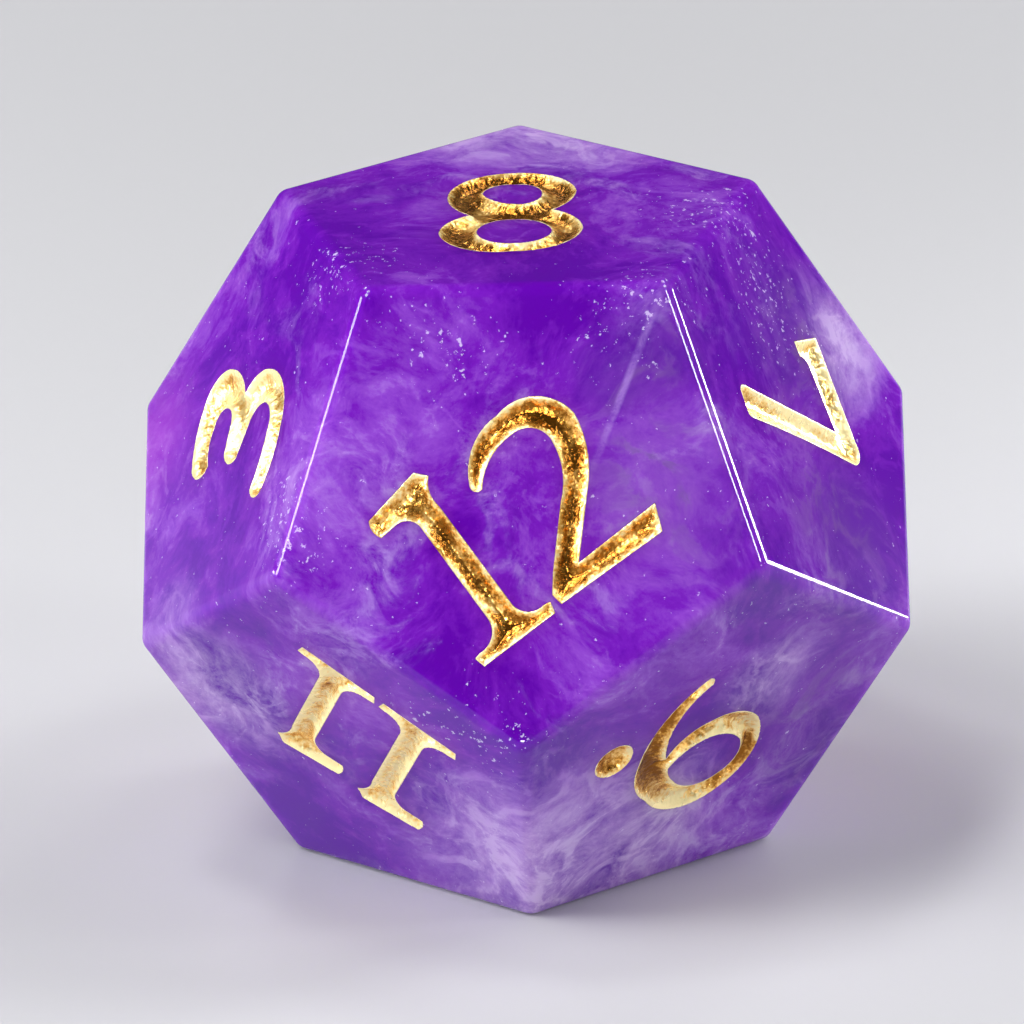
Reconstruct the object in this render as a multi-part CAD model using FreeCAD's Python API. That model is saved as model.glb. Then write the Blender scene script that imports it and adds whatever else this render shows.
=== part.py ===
import FreeCAD, Part
import math
import os

# A twelve-sided gemstone die. Every numeral is engraved in the stone, and each
# groove is lined with its own deposit of gold paint. All lengths are in mm.
# The die rests on its 5: the origin is the centre of that face, and +Z is up.

# ---------------------------------------------------------------- dimensions
ACROSS_FLATS = 19.0      # between opposite faces, so also the height at rest
EDGE_RADIUS = 0.50       # polished edges and corners
GROOVE_DEPTH = 0.50      # engraving, from the face to the groove's floor
LINING = 0.14            # paint on the groove's floor and walls
LINING_DROP = 0.02       # paint stops this far below the polished face
DOT_RADIUS = 0.65        # the dot that tells the 6 from the 9

INRADIUS = ACROSS_FLATS / 2
RING_TILT = math.degrees(math.atan(0.5))    # lean of the ten side faces
APOTHEM = INRADIUS * math.tan(math.radians(90 - RING_TILT) / 2)
CORNER_RADIUS = APOTHEM / math.cos(math.radians(36))

# ------------------------------------------------------------------ numerals
# A closed outline is a start point followed by steps. A step of two numbers is
# a straight line to that point. A step of four is an arc that passes through
# the first point and ends on the second. y runs up the numeral, and each
# numeral is centred on its own height. The first outline is the outside, and
# any others are islands of stone that the groove runs round.
ONE = [[
    (-1.38, 2.45), (0.45, 2.78), (0.74, 2.45), (0.49, 2.08, 0.46, 1.60),
    (0.43, -1.75), (0.60, -2.24, 1.12, -2.40), (1.33, -2.44), (1.25, -2.78),
    (-1.25, -2.78), (-1.33, -2.44), (-1.10, -2.40), (-0.55, -2.20, -0.36, -1.75),
    (-0.32, 1.35), (-0.45, 1.74, -0.85, 1.89), (-1.38, 1.85),
    (-1.47, 2.13, -1.38, 2.45),
]]

TWO = [[
    (-1.93, 1.60), (-1.24, 2.40, -0.10, 2.72), (1.24, 2.36, 1.66, 1.45),
    (1.40, 0.55, 0.62, -0.53), (-0.78, -1.98), (1.94, -1.93), (1.62, -2.70),
    (-1.88, -2.62), (-1.93, -2.25), (-1.55, -1.78), (-0.18, -0.33),
    (0.46, 0.46, 0.69, 1.27), (0.47, 1.82, -0.11, 2.03),
    (-0.98, 1.86, -1.70, 1.30), (-1.90, 1.36, -1.93, 1.60),
]]

THREE = [[
    (-1.45, 2.46), (-0.52, 2.86, 0.45, 2.96), (1.38, 2.55, 1.69, 1.62),
    (1.52, 0.88, 1.06, 0.30), (1.66, -0.22, 1.87, -0.98),
    (1.47, -2.22, 0.30, -2.90), (-0.70, -3.03, -1.68, -2.86),
    (-1.88, -2.46, -1.68, -2.08), (-0.78, -2.15, 0.10, -2.05),
    (0.68, -1.80, 0.89, -1.30), (0.66, -0.86, 0.10, -0.62), (-0.86, -0.44),
    (-1.06, 0.05, -0.80, 0.50), (0.02, 0.66), (0.42, 0.86, 0.54, 1.22),
    (0.36, 1.62, -0.08, 1.76), (-0.68, 1.72, -1.22, 1.38),
    (-1.64, 1.82, -1.45, 2.46),
]]

FOUR = [
    [
        (0.50, 2.80), (1.12, 2.80), (1.12, -0.92), (1.95, -0.92),
        (1.86, -1.52), (1.12, -1.52), (1.12, -1.80), (1.28, -2.26, 1.70, -2.42),
        (1.66, -2.80), (-0.26, -2.80), (-0.30, -2.42),
        (0.18, -2.26, 0.34, -1.80), (0.34, -1.52), (-2.02, -1.52),
        (-2.12, -1.10),
    ],
    [(0.34, 1.72), (-1.26, -0.92), (0.34, -0.92)],
]

FIVE = [[
    (-1.15, 2.75), (1.42, 2.78), (1.60, 2.06), (-0.48, 2.03), (-0.60, 1.05),
    (1.15, 0.70, 1.86, -0.75), (1.25, -2.25, -0.45, -2.86),
    (-1.10, -2.88, -1.66, -2.68), (-1.84, -2.34, -1.60, -2.00),
    (-1.02, -2.16, -0.40, -2.14), (0.66, -1.76, 1.02, -0.72),
    (0.60, 0.12, -0.35, 0.36), (-0.92, 0.32, -1.42, 0.12),
]]

SEVEN = [[
    (-1.94, 2.88), (1.42, 3.10), (1.84, 2.96, 1.93, 2.50),
    (0.92, -0.18, 0.00, -3.00), (-0.10, -3.12), (-0.72, -3.12),
    (-0.93, -3.03, -0.97, -2.80), (0.88, 2.02), (-1.12, 1.80),
    (-1.36, 1.68, -1.48, 1.42), (-1.94, 1.40),
]]

EIGHT = [
    [
        (1.20, 0.10), (1.84, -0.56, 2.06, -1.42), (1.46, -2.64, 0.05, -3.15),
        (-1.52, -2.74, -2.07, -1.65), (-1.82, -0.80, -1.22, -0.24),
        (-1.70, 0.40, -1.87, 1.20), (-1.36, 2.50, 0.05, 3.10),
        (1.38, 2.62, 1.86, 1.60), (1.66, 0.74, 1.20, 0.10),
    ],
    [
        (-0.85, 1.45), (-0.56, 1.98, 0.05, 2.14), (0.64, 1.96, 0.85, 1.45),
        (0.72, 0.90, 0.30, 0.58), (-0.48, 0.86, -0.85, 1.45),
    ],
    [
        (-0.98, -1.56), (-0.66, -0.90, 0.05, -0.66), (0.86, -0.94, 1.17, -1.60),
        (0.82, -2.26, 0.08, -2.50), (-0.68, -2.24, -0.98, -1.56),
    ],
]

NINE = [
    [
        (-1.50, -2.69), (0.42, -2.20, 1.69, -1.02), (2.08, -0.18, 2.04, 0.75),
        (1.50, 2.15, 0.10, 2.73), (-1.36, 2.22, -2.03, 0.85),
        (-1.72, -0.05, -0.90, -0.64), (-0.02, -0.81, 0.84, -0.50),
        (0.10, -1.64, -1.50, -2.30), (-1.60, -2.50, -1.50, -2.69),
    ],
    [
        (-1.22, 1.20), (-0.92, 1.80, -0.16, 2.02), (0.72, 1.62, 1.04, 0.80),
        (1.06, 0.42, 0.96, 0.06), (0.20, -0.12, -0.56, 0.08),
        (-1.02, 0.54, -1.22, 1.20),
    ],
]

ZERO = [
    [
        (0.00, 2.85), (1.28, 1.85, 1.72, 0.00), (1.28, -1.85, 0.00, -2.85),
        (-1.28, -1.85, -1.72, 0.00), (-1.28, 1.85, 0.00, 2.85),
    ],
    [
        (0.00, 2.12), (0.70, 1.30, 0.92, 0.00), (0.70, -1.30, 0.00, -2.12),
        (-0.70, -1.30, -0.92, 0.00), (-0.70, 1.30, 0.00, 2.12),
    ],
]


def turned(outlines):
    """The same numeral upside down: a 6 is a 9 turned through half a circle."""
    return [[tuple(-value for value in step) for step in outline] for outline in outlines]


SIX = turned(NINE)
DOT = [[
    (DOT_RADIUS, 0.0), (0.0, DOT_RADIUS, -DOT_RADIUS, 0.0),
    (0.0, -DOT_RADIUS, DOT_RADIUS, 0.0),
]]

# One entry per face: lean of its outward normal above the horizon, heading of
# that normal, spin of the numeral (its top points at a corner of the pentagon),
# then each groove's name, shape and centre on the face. Opposite faces add up
# to thirteen.
FACES = [
    (90, -90, 0, [("8", EIGHT, (-0.13, -0.05))]),
    (-90, -90, 0, [("5", FIVE, (0.05, -0.05))]),
    (RING_TILT, -90, 36, [("12_tens", ONE, (-2.43, -0.53)), ("12_units", TWO, (0.98, -0.60))]),
    (-RING_TILT, 90, 0, [("1", ONE, (0.10, -0.20))]),
    (RING_TILT, 198, 108, [("3", THREE, (-0.24, -0.18))]),
    (-RING_TILT, 18, 72, [("10_tens", ONE, (-2.10, -0.40)), ("10_units", ZERO, (1.25, -0.35))]),
    (RING_TILT, -18, -108, [("7", SEVEN, (-0.03, -0.39))]),
    (-RING_TILT, 162, -144, [("6", SIX, (-0.30, 0.10)), ("6_dot", DOT, (2.45, -1.98))]),
    (-RING_TILT, -126, 144, [("11_tens", ONE, (-1.40, -0.65)), ("11_units", ONE, (1.40, -0.65))]),
    (RING_TILT, 54, -36, [("2", TWO, (0.10, -0.10))]),
    (-RING_TILT, -54, -144, [("9", NINE, (0.26, 0.02)), ("9_dot", DOT, (2.35, -2.20))]),
    (RING_TILT, 126, 36, [("4", FOUR, (0.10, -0.05))]),
]


# ------------------------------------------------------------------- helpers
def point(x, y, z=0.0):
    return FreeCAD.Vector(x, y, z)


def face_placement(lean, heading, spin=0.0):
    """Where a face lies: x to its right, y up it, z along its outward normal."""
    stand = FreeCAD.Rotation(point(1, 0, 0), 90 - lean)
    turn = FreeCAD.Rotation(point(0, 0, 1), heading + 90)
    roll = FreeCAD.Rotation(point(0, 0, 1), spin)
    rotation = turn.multiply(stand)
    normal = rotation.multVec(point(0, 0, 1))
    return FreeCAD.Placement(point(0, 0, INRADIUS) + normal * INRADIUS, rotation.multiply(roll))


def outline_wire(steps):
    """A closed wire from a list of steps, at z = 0."""
    edges = []
    here = point(*steps[0])
    for step in steps[1:]:
        there = point(*step[-2:])
        if len(step) == 4:
            edges.append(Part.Arc(here, point(*step[:2]), there).toShape())
        else:
            edges.append(Part.makeLine(here, there))
        here = there
    if here.distanceToPoint(point(*steps[0])) > 1e-6:
        edges.append(Part.makeLine(here, point(*steps[0])))
    return Part.Wire(edges)


def shape_face(shape):
    """The flat area of one groove, at z = 0."""
    area = Part.Face(outline_wire(shape[0]))
    for island in shape[1:]:
        area = area.cut(Part.Face(outline_wire(island)))
    return area.Faces[0]


def prism(area, top, bottom):
    """The area carried from one height to another, both measured from the face."""
    moved = area.translated(point(0, 0, bottom))
    return moved.extrude(point(0, 0, top - bottom))


def groove_cutter(area):
    """What the engraving takes out of the stone."""
    return prism(area, 1.0, -GROOVE_DEPTH)


def gold_lining(area):
    """A trough of paint that covers the groove's floor and walls."""
    outside = prism(area, -LINING_DROP, -GROOVE_DEPTH)
    hollow = prism(area.makeOffset2D(-LINING), 1.0, LINING - GROOVE_DEPTH)
    return outside.cut(hollow)


def rough_stone():
    """The sharp dodecahedron, from its twelve pentagons."""
    pentagons = []
    for lean, heading, _, _ in FACES:
        first = 126 if lean == RING_TILT else 90
        angles = [math.radians(first + 72 * k) for k in range(6)]
        corners = [point(CORNER_RADIUS * math.cos(a), CORNER_RADIUS * math.sin(a)) for a in angles]
        pentagon = Part.Face(Part.makePolygon(corners))
        pentagon.Placement = face_placement(lean, heading)
        pentagons.append(pentagon)
    shell = Part.makeShell(pentagons)
    shell.sewShape()
    return Part.makeSolid(shell)


def polished_stone():
    rough = rough_stone()
    return rough.makeFillet(EDGE_RADIUS, rough.Edges)


# ------------------------------------------------------------------ assembly
def build():
    """Node name to solid, for the stone and each of its gold linings."""
    cutters = []
    nodes = {}
    for lean, heading, spin, grooves in FACES:
        placement = face_placement(lean, heading, spin)
        for name, shape, centre in grooves:
            area = shape_face(shape).translated(point(*centre))
            cutter = groove_cutter(area)
            cutter.Placement = placement
            cutters.append(cutter)
            lining = gold_lining(area)
            lining.Placement = placement
            nodes["gold_" + name] = lining
    nodes["stone_body"] = polished_stone().cut(cutters)
    return nodes


os.makedirs("parts", exist_ok=True)
for node, shape in build().items():
    shape.exportStep("parts/" + node + ".step")
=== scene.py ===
import math

import bmesh
import bpy
from mathutils import Matrix, Vector, noise
from mathutils.bvhtree import BVHTree


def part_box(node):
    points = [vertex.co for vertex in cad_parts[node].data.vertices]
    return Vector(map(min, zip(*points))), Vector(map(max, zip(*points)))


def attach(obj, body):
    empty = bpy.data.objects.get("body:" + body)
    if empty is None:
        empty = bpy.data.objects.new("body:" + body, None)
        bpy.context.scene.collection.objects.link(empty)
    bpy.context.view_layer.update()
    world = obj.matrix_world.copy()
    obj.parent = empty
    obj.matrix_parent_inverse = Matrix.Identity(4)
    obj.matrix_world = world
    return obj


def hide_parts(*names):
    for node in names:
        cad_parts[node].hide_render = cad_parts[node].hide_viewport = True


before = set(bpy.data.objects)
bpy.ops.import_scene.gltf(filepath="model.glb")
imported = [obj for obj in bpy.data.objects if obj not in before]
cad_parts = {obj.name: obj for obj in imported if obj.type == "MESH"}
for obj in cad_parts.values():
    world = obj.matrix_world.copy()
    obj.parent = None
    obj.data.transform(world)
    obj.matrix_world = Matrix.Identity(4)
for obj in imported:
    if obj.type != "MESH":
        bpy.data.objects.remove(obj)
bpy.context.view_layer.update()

# ---------------------------------------------------------------- proportions
MM = 0.001
STONE_LOW, STONE_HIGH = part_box("stone_body")
INRADIUS = (STONE_HIGH.z - STONE_LOW.z) / 2
CENTRE = Vector((0, 0, STONE_LOW.z + INRADIUS))
RING_TILT = math.atan(0.5)               # lean of the ten side faces


# ------------------------------------------------------------------ materials
class Value:
    """One output in a material. Arithmetic on it adds Math nodes after it."""

    def __init__(self, tree, socket):
        self.tree = tree
        self.socket = socket

    def node(self, kind, settings=None, inputs=None, output=0):
        """Adds a node: its settings first, then its inputs, which are values or links."""
        added = self.tree.nodes.new(kind)
        for name, setting in (settings or {}).items():
            if name == "stops":
                set_stops(added.color_ramp, setting)
            else:
                setattr(added, name, setting)
        for key, given in (inputs or {}).items():
            if isinstance(given, Value):
                self.tree.links.new(given.socket, added.inputs[key])
            else:
                added.inputs[key].default_value = given
        return Value(self.tree, added.outputs[output])

    def math(self, operation, first, second=None):
        inputs = {0: first} if second is None else {0: first, 1: second}
        return self.node("ShaderNodeMath", {"operation": operation}, inputs)

    def __add__(self, other):
        return self.math("ADD", self, other)

    __radd__ = __add__

    def __mul__(self, other):
        return self.math("MULTIPLY", self, other)

    __rmul__ = __mul__

    def __sub__(self, other):
        return self.math("SUBTRACT", self, other)

    def __rsub__(self, other):
        return self.math("SUBTRACT", other, self)

    def __abs__(self):
        return self.math("ABSOLUTE", self)

    def clamp(self):
        return self.node("ShaderNodeClamp", None, {"Value": self})

    def step(self, low, high):
        """0 below low and 1 above high, eased in between. High may be the smaller."""
        return self.node(
            "ShaderNodeMapRange",
            {"interpolation_type": "SMOOTHSTEP"},
            {"Value": self, "From Min": low, "From Max": high},
        )

    def moved(self, other, amount=1.0):
        """This vector plus a share of another."""
        return self.node(
            "ShaderNodeVectorMath",
            {"operation": "MULTIPLY_ADD"},
            {0: other, 1: (amount, amount, amount), 2: self},
        )

    def moved_by(self, step):
        """This vector moved by a fixed step."""
        return self.node("ShaderNodeVectorMath", {"operation": "ADD"}, {0: self, 1: step})

    def noise(self, scale, detail=2.0, roughness=0.5, output=0):
        return self.node(
            "ShaderNodeTexNoise",
            None,
            {"Vector": self, "Scale": scale, "Detail": detail, "Roughness": roughness},
            output,
        )

    def filaments(self, scale, roughness, distortion):
        """Cottony threads: about 0.5 between them, 1 on average, 2 along them."""
        return self.node(
            "ShaderNodeTexNoise",
            {"noise_type": "RIDGED_MULTIFRACTAL"},
            {
                "Vector": self, "Scale": scale, "Detail": 8.0, "Roughness": roughness,
                "Offset": 0.9, "Gain": 1.5, "Distortion": distortion,
            },
        )

    def near(self, place, reach):
        """1 at a place, easing to 0 at its reach."""
        away = self.node(
            "ShaderNodeVectorMath", {"operation": "DISTANCE"}, {0: self, 1: place}, 1
        )
        return away.step(reach, 0.0)

    def over(self, mask, colour):
        """This colour with another laid over it where the mask is 1."""
        return self.node(
            "ShaderNodeMix",
            {"data_type": "RGBA"},
            {0: mask, 6: self, 7: colour},
            2,
        )


def set_stops(ramp, stops):
    ramp.elements[0].position, ramp.elements[0].color = stops[0]
    ramp.elements[1].position, ramp.elements[1].color = stops[-1]
    for position, colour in stops[1:-1]:
        ramp.elements.new(position).color = colour


def new_material(name):
    """A material with one shader; gives its shader, and its Object coordinates in inradii."""
    material = bpy.data.materials.new(name)
    material.use_nodes = True
    tree = material.node_tree
    shader = tree.nodes["Principled BSDF"]
    start = Value(tree, None)
    coordinates = start.node("ShaderNodeTexCoord", None, None, "Object")
    place = start.node(
        "ShaderNodeMapping",
        None,
        {
            "Vector": coordinates,
            "Location": -CENTRE / INRADIUS,
            "Scale": (1 / INRADIUS, 1 / INRADIUS, 1 / INRADIUS),
        },
    )
    return material, shader, place


def feed(shader, name, value):
    value.tree.links.new(value.socket, shader.inputs[name])


# Places in inradii from the stone's centre, x to the right, y to the back, z up,
# each with its reach.
DEEP_PLACES = [
    ((0.0, -0.50, 1.0), 0.60),
    ((-0.45, -0.20, 1.0), 0.50),
    ((-0.85, -0.25, 0.65), 0.50),
    ((0.75, -0.45, 0.75), 0.35),
    ((1.05, -0.35, 0.05), 0.45),
    ((1.08, 0.00, 0.12), 0.40),
    ((-0.85, -0.09, 0.58), 0.45),
    ((-0.97, -0.42, 0.12), 0.42),
    ((-0.65, -0.55, -0.75), 0.45),
    ((0.75, -0.85, 0.20), 0.30),
    ((0.52, -0.80, -0.44), 0.42),
    ((0.60, 0.85, 0.20), 0.60),
    ((-0.40, 1.05, -0.50), 0.55),
]
MILKY_PLACES = [
    ((0.08, -0.84, -0.82), 0.64),
    ((0.32, -0.66, -0.85), 0.46),
    ((0.72, -0.72, -0.28), 0.30),
    ((0.0, 0.72, 1.0), 0.55),
    ((-0.95, -0.50, -0.30), 0.36),
    ((0.95, 0.20, 0.50), 0.36),
    ((0.45, 0.90, -0.55), 0.60),
    ((-0.85, 0.80, 0.30), 0.55),
]
LAVENDER_PLACES = [
    ((-0.25, -0.78, 0.66), 0.45),
    ((-0.45, -0.95, 0.30), 0.35),
    ((0.48, -0.82, 0.50), 0.34),
    ((-0.70, -0.75, -0.20), 0.30),
    ((0.55, -0.95, -0.10), 0.40),
    ((0.60, -0.46, -0.88), 0.42),
    ((0.05, 0.60, 1.00), 0.60),
    ((0.60, 0.15, 1.00), 0.30),
]
SMOKY_PLACES = [
    ((0.50, -0.87, 0.48), 0.42),
    ((0.42, -0.72, 0.78), 0.30),
    ((0.98, -0.45, 0.12), 0.50),
    ((0.80, -0.05, 0.62), 0.42),
    ((0.86, -0.45, -0.50), 0.36),
    ((0.10, 1.00, -0.30), 0.50),
    ((-0.80, 0.45, -0.60), 0.45),
]
# A painted glow of light shining through the stone's left edge: a rose tint laid near this place,
# within its reach.
EDGE_GLOW_PLACE = (-1.14, 0.18, 0.22)
EDGE_GLOW_REACH = 0.36
# Places where the gold is painted paler and less metallic, a painted highlight standing for
# reflected light, each with its reach.
PAINTED_GOLD_HIGHLIGHT_PLACES = [
    ((-0.85, -0.28, 0.45), 1.00),
    ((0.88, -0.10, 0.42), 1.00),
    ((-0.48, -0.78, -0.45), 0.95),
    ((0.43, -0.67, -0.69), 0.26),
    ((0.61, -0.66, -0.46), 0.17),
    ((0.23, -0.82, -0.60), 0.09),
]
# Where the painted glints cluster, each with its reach.
SPARKLE_PLACES = [
    ((0.35, -0.62, 0.95), 0.30),
    ((-0.25, -0.66, 0.92), 0.22),
    ((-0.50, -0.40, 1.00), 0.28),
    ((0.60, 0.00, 1.00), 0.38),
    ((0.80, -0.10, 0.80), 0.35),
    ((-0.70, -0.85, 0.35), 0.25),
    ((-0.20, -1.05, -0.25), 0.28),
    ((0.30, 0.95, 0.30), 0.45),
]

# Colours of the stone, from its deepest purple to its palest.
PURPLES = [
    (0.12, (0.115, 0.001, 0.38, 1)),
    (0.38, (0.185, 0.012, 0.48, 1)),
    (0.62, (0.285, 0.070, 0.60, 1)),
    (0.90, (0.45, 0.24, 0.72, 1)),
]
SMOKE = (0.175, 0.075, 0.34, 1)
MILK = (0.66, 0.50, 0.84, 1)
VEIL = (0.56, 0.44, 0.80, 1)
CRACK_LILAC = (0.50, 0.30, 0.80, 1)
# The rose of the painted glow along the left edge.
EDGE_GLOW_ROSE = (0.36, 0.035, 0.58, 1)
# The colour of the painted glints.
GLINT_LILAC = (0.74, 0.62, 0.94, 1)

# The healed crack's plane, and the stretch of it that shows.
CRACK_ACROSS = (0.92, -0.17, -0.34)
CRACK_OFFSET = 0.178
CRACK_MIDDLE = (0.32, -0.75, 0.73)
CRACK_REACH = 0.42

# Colours of the gold, from brown painted shade in the groove's bottom to a cream painted highlight
# along its edge.
GOLDS = [
    (0.10, (0.30, 0.11, 0.01, 1)),
    (0.35, (0.70, 0.34, 0.06, 1)),
    (0.60, (1.00, 0.66, 0.22, 1)),
    (0.85, (1.00, 0.85, 0.44, 1)),
]


def strongest(place, spots):
    """How near the closest of several places is, 1 at its middle."""
    found = None
    for spot, reach in spots:
        one = place.near(spot, reach)
        found = one if found is None else one.math("MAXIMUM", found, one)
    return found


def painted_glints(place, scale, clusters):
    """Tiny uneven painted glints, the peaks of a fine noise, mostly in clusters."""
    return (place.noise(scale, 3.0, 0.65) + clusters * 0.092).step(0.690, 0.735)


def healed_crack(place, across, offset, middle, reach):
    """A thin bright line where a healed crack meets the surface."""
    along = place.node(
        "ShaderNodeVectorMath", {"operation": "DOT_PRODUCT"}, {0: place, 1: across}, 1
    )
    return abs(along - offset).step(0.016, 0.003) * place.near(middle, reach)


def amethyst():
    """Polished purple quartz: deep, smoky and milky zones, thin veils and a crack, with a painted
    glow along its left edge and painted glints.
    """
    material, shader, place = new_material("amethyst")
    drift = place.noise(1.4, 3.0, output=1)
    bent = place.moved(drift, 0.50).moved_by((-0.25, -0.25, -0.25))
    cloud = (bent.noise(2.0, 6.0, 0.62) - 0.5) * 4.0
    cotton = (bent.noise(11.0, 6.0, 0.75) - 0.5) * 4.0
    grit = (bent.noise(38.0, 4.0, 0.7) - 0.5) * 4.0
    wisp = bent.filaments(1.35, 0.78, 0.45).step(1.15, 2.15)
    silk = bent.filaments(5.0, 0.80, 0.5).step(0.80, 2.20)
    deep = strongest(bent, DEEP_PLACES)
    lavender = strongest(bent, LAVENDER_PLACES)
    milky = strongest(bent, MILKY_PLACES)
    tone = 0.35 + cloud * 0.40 + cotton * 0.17 + grit * 0.06 + silk * 0.14
    tone = tone + lavender * 0.20 - deep * 0.26
    ramp = tone.node("ShaderNodeValToRGB", {"stops": PURPLES}, {"Fac": tone})
    body = (cloud * 0.5 + cotton * 0.45 + silk * 0.4 + 0.55).clamp()
    smoke = strongest(bent, SMOKY_PLACES) * (0.35 + silk * 0.5 + cotton * 0.2)
    colour = ramp.over(smoke.clamp(), SMOKE)
    colour = colour.over((milky * body * 1.1).clamp() * 0.9, MILK)
    thick = 0.22 + lavender * 0.26 + milky * 0.14 - deep * 0.22
    veil = wisp * (0.20 + silk * 0.6 + cotton * 0.35 + grit * 0.35) * thick
    colour = colour.over(veil.clamp(), VEIL)
    crack = healed_crack(place, CRACK_ACROSS, CRACK_OFFSET, CRACK_MIDDLE, CRACK_REACH)
    colour = colour.over((crack * (0.8 + cotton)).clamp() * 0.5, CRACK_LILAC)
    # Painted glow along the stone's left edge, standing for light shining through it.
    colour = colour.over(place.near(EDGE_GLOW_PLACE, EDGE_GLOW_REACH) * 0.6, EDGE_GLOW_ROSE)
    # Painted glints: bright lilac specks, mostly in clusters.
    clusters = strongest(bent, SPARKLE_PLACES)
    sparkle = painted_glints(place, 52.0, clusters) + painted_glints(place, 24.0, clusters - 0.3)
    colour = colour.over(sparkle.clamp() * 0.75, GLINT_LILAC)
    feed(shader, "Base Color", colour)
    shader.inputs["Roughness"].default_value = 0.06
    shader.inputs["IOR"].default_value = 1.54
    shader.inputs["Specular IOR Level"].default_value = 0.3
    shader.inputs["Transmission Weight"].default_value = 0.30
    shader.inputs["Subsurface Weight"].default_value = 0.45
    shader.inputs["Subsurface Radius"].default_value = (1.0, 0.5, 1.0)
    shader.inputs["Subsurface Scale"].default_value = 2.5 * MM
    return material


def gold_paint():
    """Metallic paint: a cream painted highlight along each groove's edge, brown painted shade in
    its bottom, and painted highlights in some places.
    """
    material, shader, place = new_material("gold_paint")
    grain = place.noise(90.0, 3.0, 0.6)
    patch = place.noise(12.0, 3.0, 0.55)
    # The edge band and the listed places carry painted light: a highlight along each groove's edge
    # and in some places, painted shade in the groove's bottom; grain and patches vary the tone at
    # random.
    rim = place.node("ShaderNodeAttribute", {"attribute_name": "rim"}, None, 2)
    pale = strongest(place, PAINTED_GOLD_HIGHLIGHT_PLACES)
    tone = 0.20 + rim * 0.60 + pale * 0.62 + (grain - 0.5) * 1.5 + (patch - 0.5) * 1.8
    ramp = tone.node("ShaderNodeValToRGB", {"stops": GOLDS}, {"Fac": tone})
    bump = tone.node(
        "ShaderNodeBump",
        None,
        {"Strength": 1.0, "Distance": 0.018 * MM, "Height": grain},
    )
    feed(shader, "Base Color", ramp)
    feed(shader, "Normal", bump)
    feed(shader, "Roughness", 0.24 + (patch - 0.5) * 0.8)
    # Less metallic along the edges and in the highlight places, so that the painted highlights
    # show under any light.
    feed(shader, "Metallic", 0.88 - rim * 0.40 - pale * 0.22)
    return material


# ---------------------------------------------------------------- gold grooves
GRAIN = 0.027            # mm between points on the paint's surface
GROOVE_SLOPE = 0.90      # depth gained per mm in from the groove's edge
GROOVE_FLOOR = 0.27      # mm, where the walls meet the bottom
LIP = 0.04               # mm, the paint's rounded edge
LUMP = 0.012             # mm, height of the lumps in the paint
LUMP_SIZE = 0.11         # mm across
LUMP_FADE = 0.1          # mm from the edge over which the lumps grow
RAGGED = 0.035           # mm that the paint's edge wanders
RAGGED_SIZE = 0.17       # mm from one wander to the next
RAGGED_BIAS = 0.2        # share of the wander that always narrows the groove
BELOW_FACE = 0.004       # mm, the least that the paint lies under the face
RIM = 0.20               # mm, width of the painted highlight along the edge, which fades to painted shade inward
FLOOR_SLACK = 0.01       # mm above its lowest point that still counts as the floor


def face_frames():
    """The turn and place of each of the twelve faces, z outwards, in metres."""
    ways = [(math.pi / 2, 0.0), (-math.pi / 2, 0.0)]
    ways += [(RING_TILT, math.radians(54 + 72 * k)) for k in range(5)]
    ways += [(-RING_TILT, math.radians(18 + 72 * k)) for k in range(5)]
    frames = []
    for lean, heading in ways:
        normal = Vector((
            math.cos(lean) * math.cos(heading),
            math.cos(lean) * math.sin(heading),
            math.sin(lean),
        ))
        turn = normal.to_track_quat("Z", "Y").to_matrix().to_4x4()
        frames.append(Matrix.Translation(CENTRE + normal * INRADIUS) @ turn)
    return frames


def nearest_face(low, high):
    """The frame of the face that a box lies closest to."""
    middle = (low + high) / 2
    return min(FACES, key=lambda face: (face.translation - middle).length)


FACES = face_frames()


def merged_copy(node, to_bench):
    """A CAD node's mesh laid on the bench in mm, its doubles merged."""
    mesh = bmesh.new()
    mesh.from_mesh(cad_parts[node].data)
    mesh.transform(to_bench)
    bmesh.ops.remove_doubles(mesh, verts=mesh.verts, dist=1e-4)
    return mesh


def groove_block(mesh):
    """Keeps the groove's floor and raises it to the face as one closed block."""
    lowest = min(vert.co.z for vert in mesh.verts)
    downward = [f for f in mesh.faces if f.normal.z < -0.9]
    floor = {f for f in downward if f.calc_center_median().z < lowest + FLOOR_SLACK}
    spare = [f for f in mesh.faces if f not in floor]
    bmesh.ops.delete(mesh, geom=spare, context="FACES")
    raised = bmesh.ops.extrude_face_region(mesh, geom=mesh.faces[:], use_keep_orig=True)
    risen = [item for item in raised["geom"] if isinstance(item, bmesh.types.BMVert)]
    bmesh.ops.translate(mesh, verts=risen, vec=(0, 0, -lowest))
    bmesh.ops.recalc_face_normals(mesh, faces=mesh.faces)
    return mesh


def groove_walls(mesh):
    """The upright walls of the block, to measure how far in a point lies."""
    walls = mesh.copy()
    flats = [f for f in walls.faces if abs(f.normal.z) > 0.5]
    bmesh.ops.delete(walls, geom=flats, context="FACES")
    tree = BVHTree.FromBMesh(walls)
    walls.free()
    return tree


def remeshed(mesh, name):
    """The block with an even mesh all over."""
    data = bpy.data.meshes.new(name)
    mesh.to_mesh(data)
    mesh.free()
    piece = bpy.data.objects.new(name, data)
    bpy.context.scene.collection.objects.link(piece)
    remesh = piece.modifiers.new("even mesh", "REMESH")
    remesh.mode = "VOXEL"
    remesh.voxel_size = GRAIN
    graph = bpy.context.evaluated_depsgraph_get()
    piece.data = bpy.data.meshes.new_from_object(piece.evaluated_get(graph))
    piece.modifiers.clear()
    return piece


def groove_depth(inward):
    """Depth of the paint at a distance in from the groove's edge, in mm."""
    wall = GROOVE_SLOPE * (math.hypot(inward, LIP) - LIP)
    share = wall / GROOVE_FLOOR
    return wall / (1 + share ** 4) ** 0.25


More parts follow.
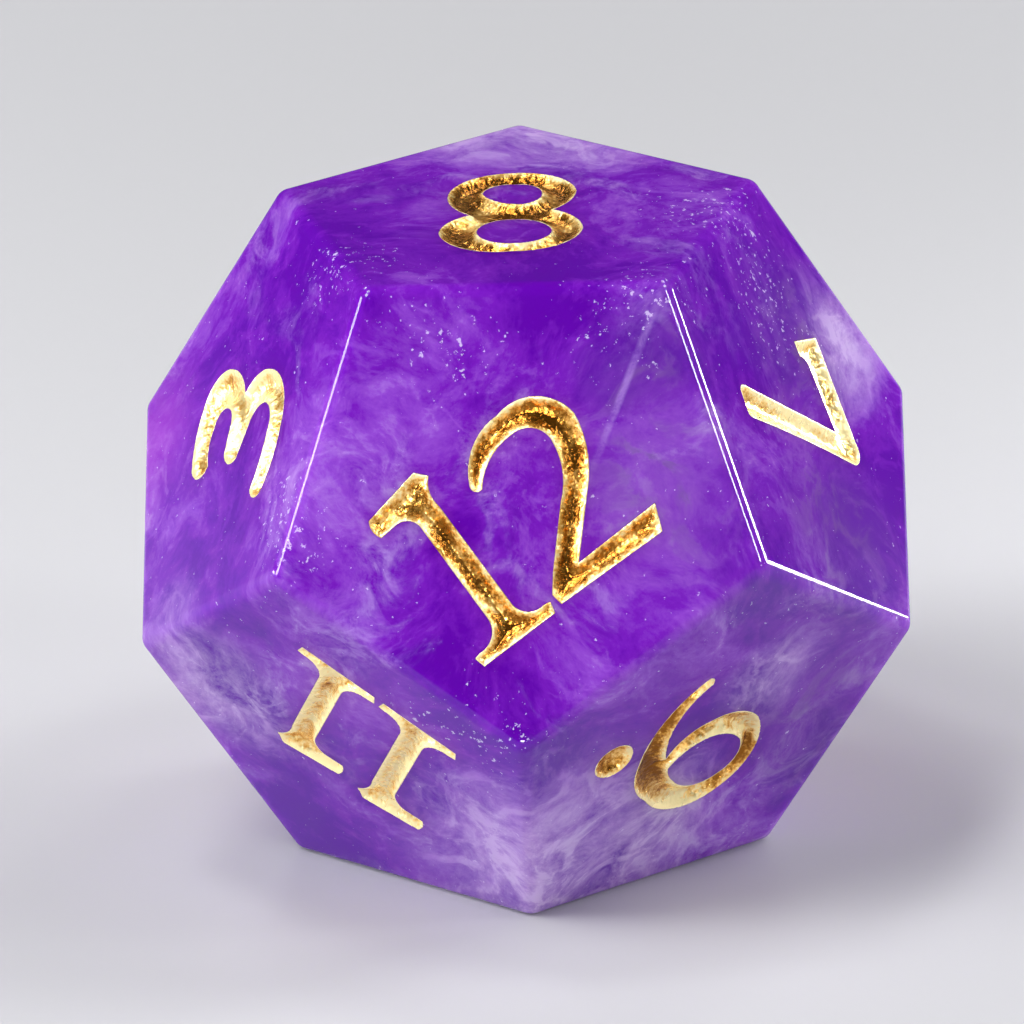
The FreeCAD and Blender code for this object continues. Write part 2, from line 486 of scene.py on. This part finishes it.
def press_groove(piece, walls, depth):
    """Sinks the block's upper side into a lumpy groove with an uneven edge."""
    # How near each point lies to the groove's edge: the paint's shader turns it into a painted
    # highlight there and painted shade further in.
    rim = piece.data.attributes.new("rim", "FLOAT", "POINT")
    for vert in piece.data.vertices:
        place = vert.co.copy()
        if place.z < -0.5 * depth:
            continue
        mid_wall = Vector((place.x, place.y, -0.5 * depth))
        inward = walls.find_nearest(mid_wall)[3]
        lump = noise.noise(place / LUMP_SIZE) * LUMP * min(1.0, inward / LUMP_FADE)
        wander = RAGGED * (noise.noise(place / RAGGED_SIZE) - RAGGED_BIAS)
        sunk = place.z - groove_depth(max(0.0, inward + wander)) + lump
        vert.co.z = min(sunk, -BELOW_FACE)
        rim.data[vert.index].value = max(0.0, 1 - (inward + wander) / RIM)


def gold(node):
    """The paint of one groove, in place of its plain CAD lining."""
    bench = nearest_face(*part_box(node)) @ Matrix.Scale(MM, 4)
    mesh = groove_block(merged_copy(node, bench.inverted()))
    depth = -min(vert.co.z for vert in mesh.verts)
    walls = groove_walls(mesh)
    piece = remeshed(mesh, node.replace("gold_", "paint_"))
    press_groove(piece, walls, depth)
    piece.data.transform(bench)
    piece.data.materials.clear()
    piece.data.materials.append(GOLD)
    piece.data.shade_smooth()
    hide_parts(node)
    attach(piece, "root")
    return piece


# ------------------------------------------------------------------ the object
AMETHYST = amethyst()
GOLD = gold_paint()

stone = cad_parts["stone_body"]
stone.data.materials.clear()
stone.data.materials.append(AMETHYST)

for node_name in sorted(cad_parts):
    if node_name.startswith("gold_"):
        gold(node_name)


# ------------------------------------------------------------------- the studio
FLOOR_COLOUR = (0.50, 0.50, 0.52, 1)
FLOOR_HALF_SIZE = 120 * INRADIUS
WORLD_COLOUR = (0.92, 0.95, 1.0, 1)
WORLD_STRENGTH = 0.05

# Name, turn and rise in degrees, distance, width and height in metres, watts,
# and for some a spread in degrees.
PANELS = [
    ("key_box", -50, 56, 0.36, 0.12, 0.12, 0.67),
    ("low_front_box", 0, 6, 0.26, 0.08, 0.045, 0.40),
    ("left_box", -77, 20, 0.34, 0.09, 0.16, 0.092, 60),
    ("left_back_box", -106, 4.5, 0.34, 0.10, 0.045, 0.035, 60),
    ("top_box", -90, 76, 0.36, 0.08, 0.08, 0.30),
    ("right_strip", 72, 30.5, 0.34, 0.05, 0.035, 0.18),
    ("right_low_box", 117.5, 3.5, 0.11, 0.026, 0.033, 0.0125, 60),
    ("right_top_box", 100, 50, 0.36, 0.10, 0.08, 0.35),
    ("back_left_box", -146, 48, 0.36, 0.07, 0.07, 0.18),
    ("back_right_box", 148, 46, 0.36, 0.07, 0.07, 0.15),
]

# The camera's lens in mm, its turn, rise and roll in degrees, and its distance
# and aim in inradii.
CAMERA_LENS = 334.0
CAMERA_TURN = 1.296
CAMERA_RISE = 22.845
CAMERA_DISTANCE = 29.085
CAMERA_AIM = Vector((-0.0403, 0.0, 0.0125))
CAMERA_ROLL = -1.741


def soft_matt(name, colour):
    material = bpy.data.materials.new(name)
    material.use_nodes = True
    shader = material.node_tree.nodes["Principled BSDF"]
    shader.inputs["Base Color"].default_value = colour
    shader.inputs["Roughness"].default_value = 1.0
    shader.inputs["Specular IOR Level"].default_value = 0.0
    return material


def make_floor():
    mesh = bmesh.new()
    bmesh.ops.create_grid(mesh, x_segments=1, y_segments=1, size=FLOOR_HALF_SIZE)
    data = bpy.data.meshes.new("floor")
    mesh.to_mesh(data)
    mesh.free()
    data.materials.append(soft_matt("pale_floor", FLOOR_COLOUR))
    floor = bpy.data.objects.new("floor", data)
    bpy.context.scene.collection.objects.link(floor)


def around(turn, rise, distance):
    """A point at a heading from the camera's side (+ to the right), a rise and a distance."""
    heading = math.radians(turn - 90)
    height = math.radians(rise)
    way = Vector((
        math.cos(height) * math.cos(heading),
        math.cos(height) * math.sin(heading),
        math.sin(height),
    ))
    return CENTRE + way * distance


def softbox(name, turn, rise, distance, width, height, power, spread=180):
    """A panel that faces the stone; a narrow spread, in degrees, keeps its light off the floor."""
    data = bpy.data.lights.new(name, "AREA")
    data.shape = "RECTANGLE"
    data.size = width
    data.size_y = height
    data.energy = power
    data.spread = math.radians(spread)
    lamp = bpy.data.objects.new(name, data)
    lamp.location = around(turn, rise, distance)
    lamp.rotation_euler = (lamp.location - CENTRE).to_track_quat("Z", "Y").to_euler()
    lamp.visible_camera = False
    bpy.context.scene.collection.objects.link(lamp)


def make_camera():
    data = bpy.data.cameras.new("camera")
    data.lens = CAMERA_LENS
    data.clip_start = 0.01
    camera = bpy.data.objects.new("camera", data)
    camera.location = around(CAMERA_TURN, CAMERA_RISE, CAMERA_DISTANCE * INRADIUS)
    aim = CENTRE + CAMERA_AIM * INRADIUS
    look = (camera.location - aim).to_track_quat("Z", "Y").to_matrix().to_4x4()
    roll = Matrix.Rotation(math.radians(CAMERA_ROLL), 4, "Z")
    camera.matrix_world = Matrix.Translation(camera.location) @ look @ roll
    bpy.context.scene.collection.objects.link(camera)
    bpy.context.scene.camera = camera


def make_world(strength):
    world = bpy.data.worlds.new("studio")
    world.use_nodes = True
    background = world.node_tree.nodes["Background"]
    background.inputs["Color"].default_value = WORLD_COLOUR
    background.inputs["Strength"].default_value = strength
    bpy.context.scene.world = world


make_floor()
make_camera()
make_world(WORLD_STRENGTH)
for panel in PANELS:
    softbox(*panel)
bpy.context.scene.view_settings.view_transform = "Standard"
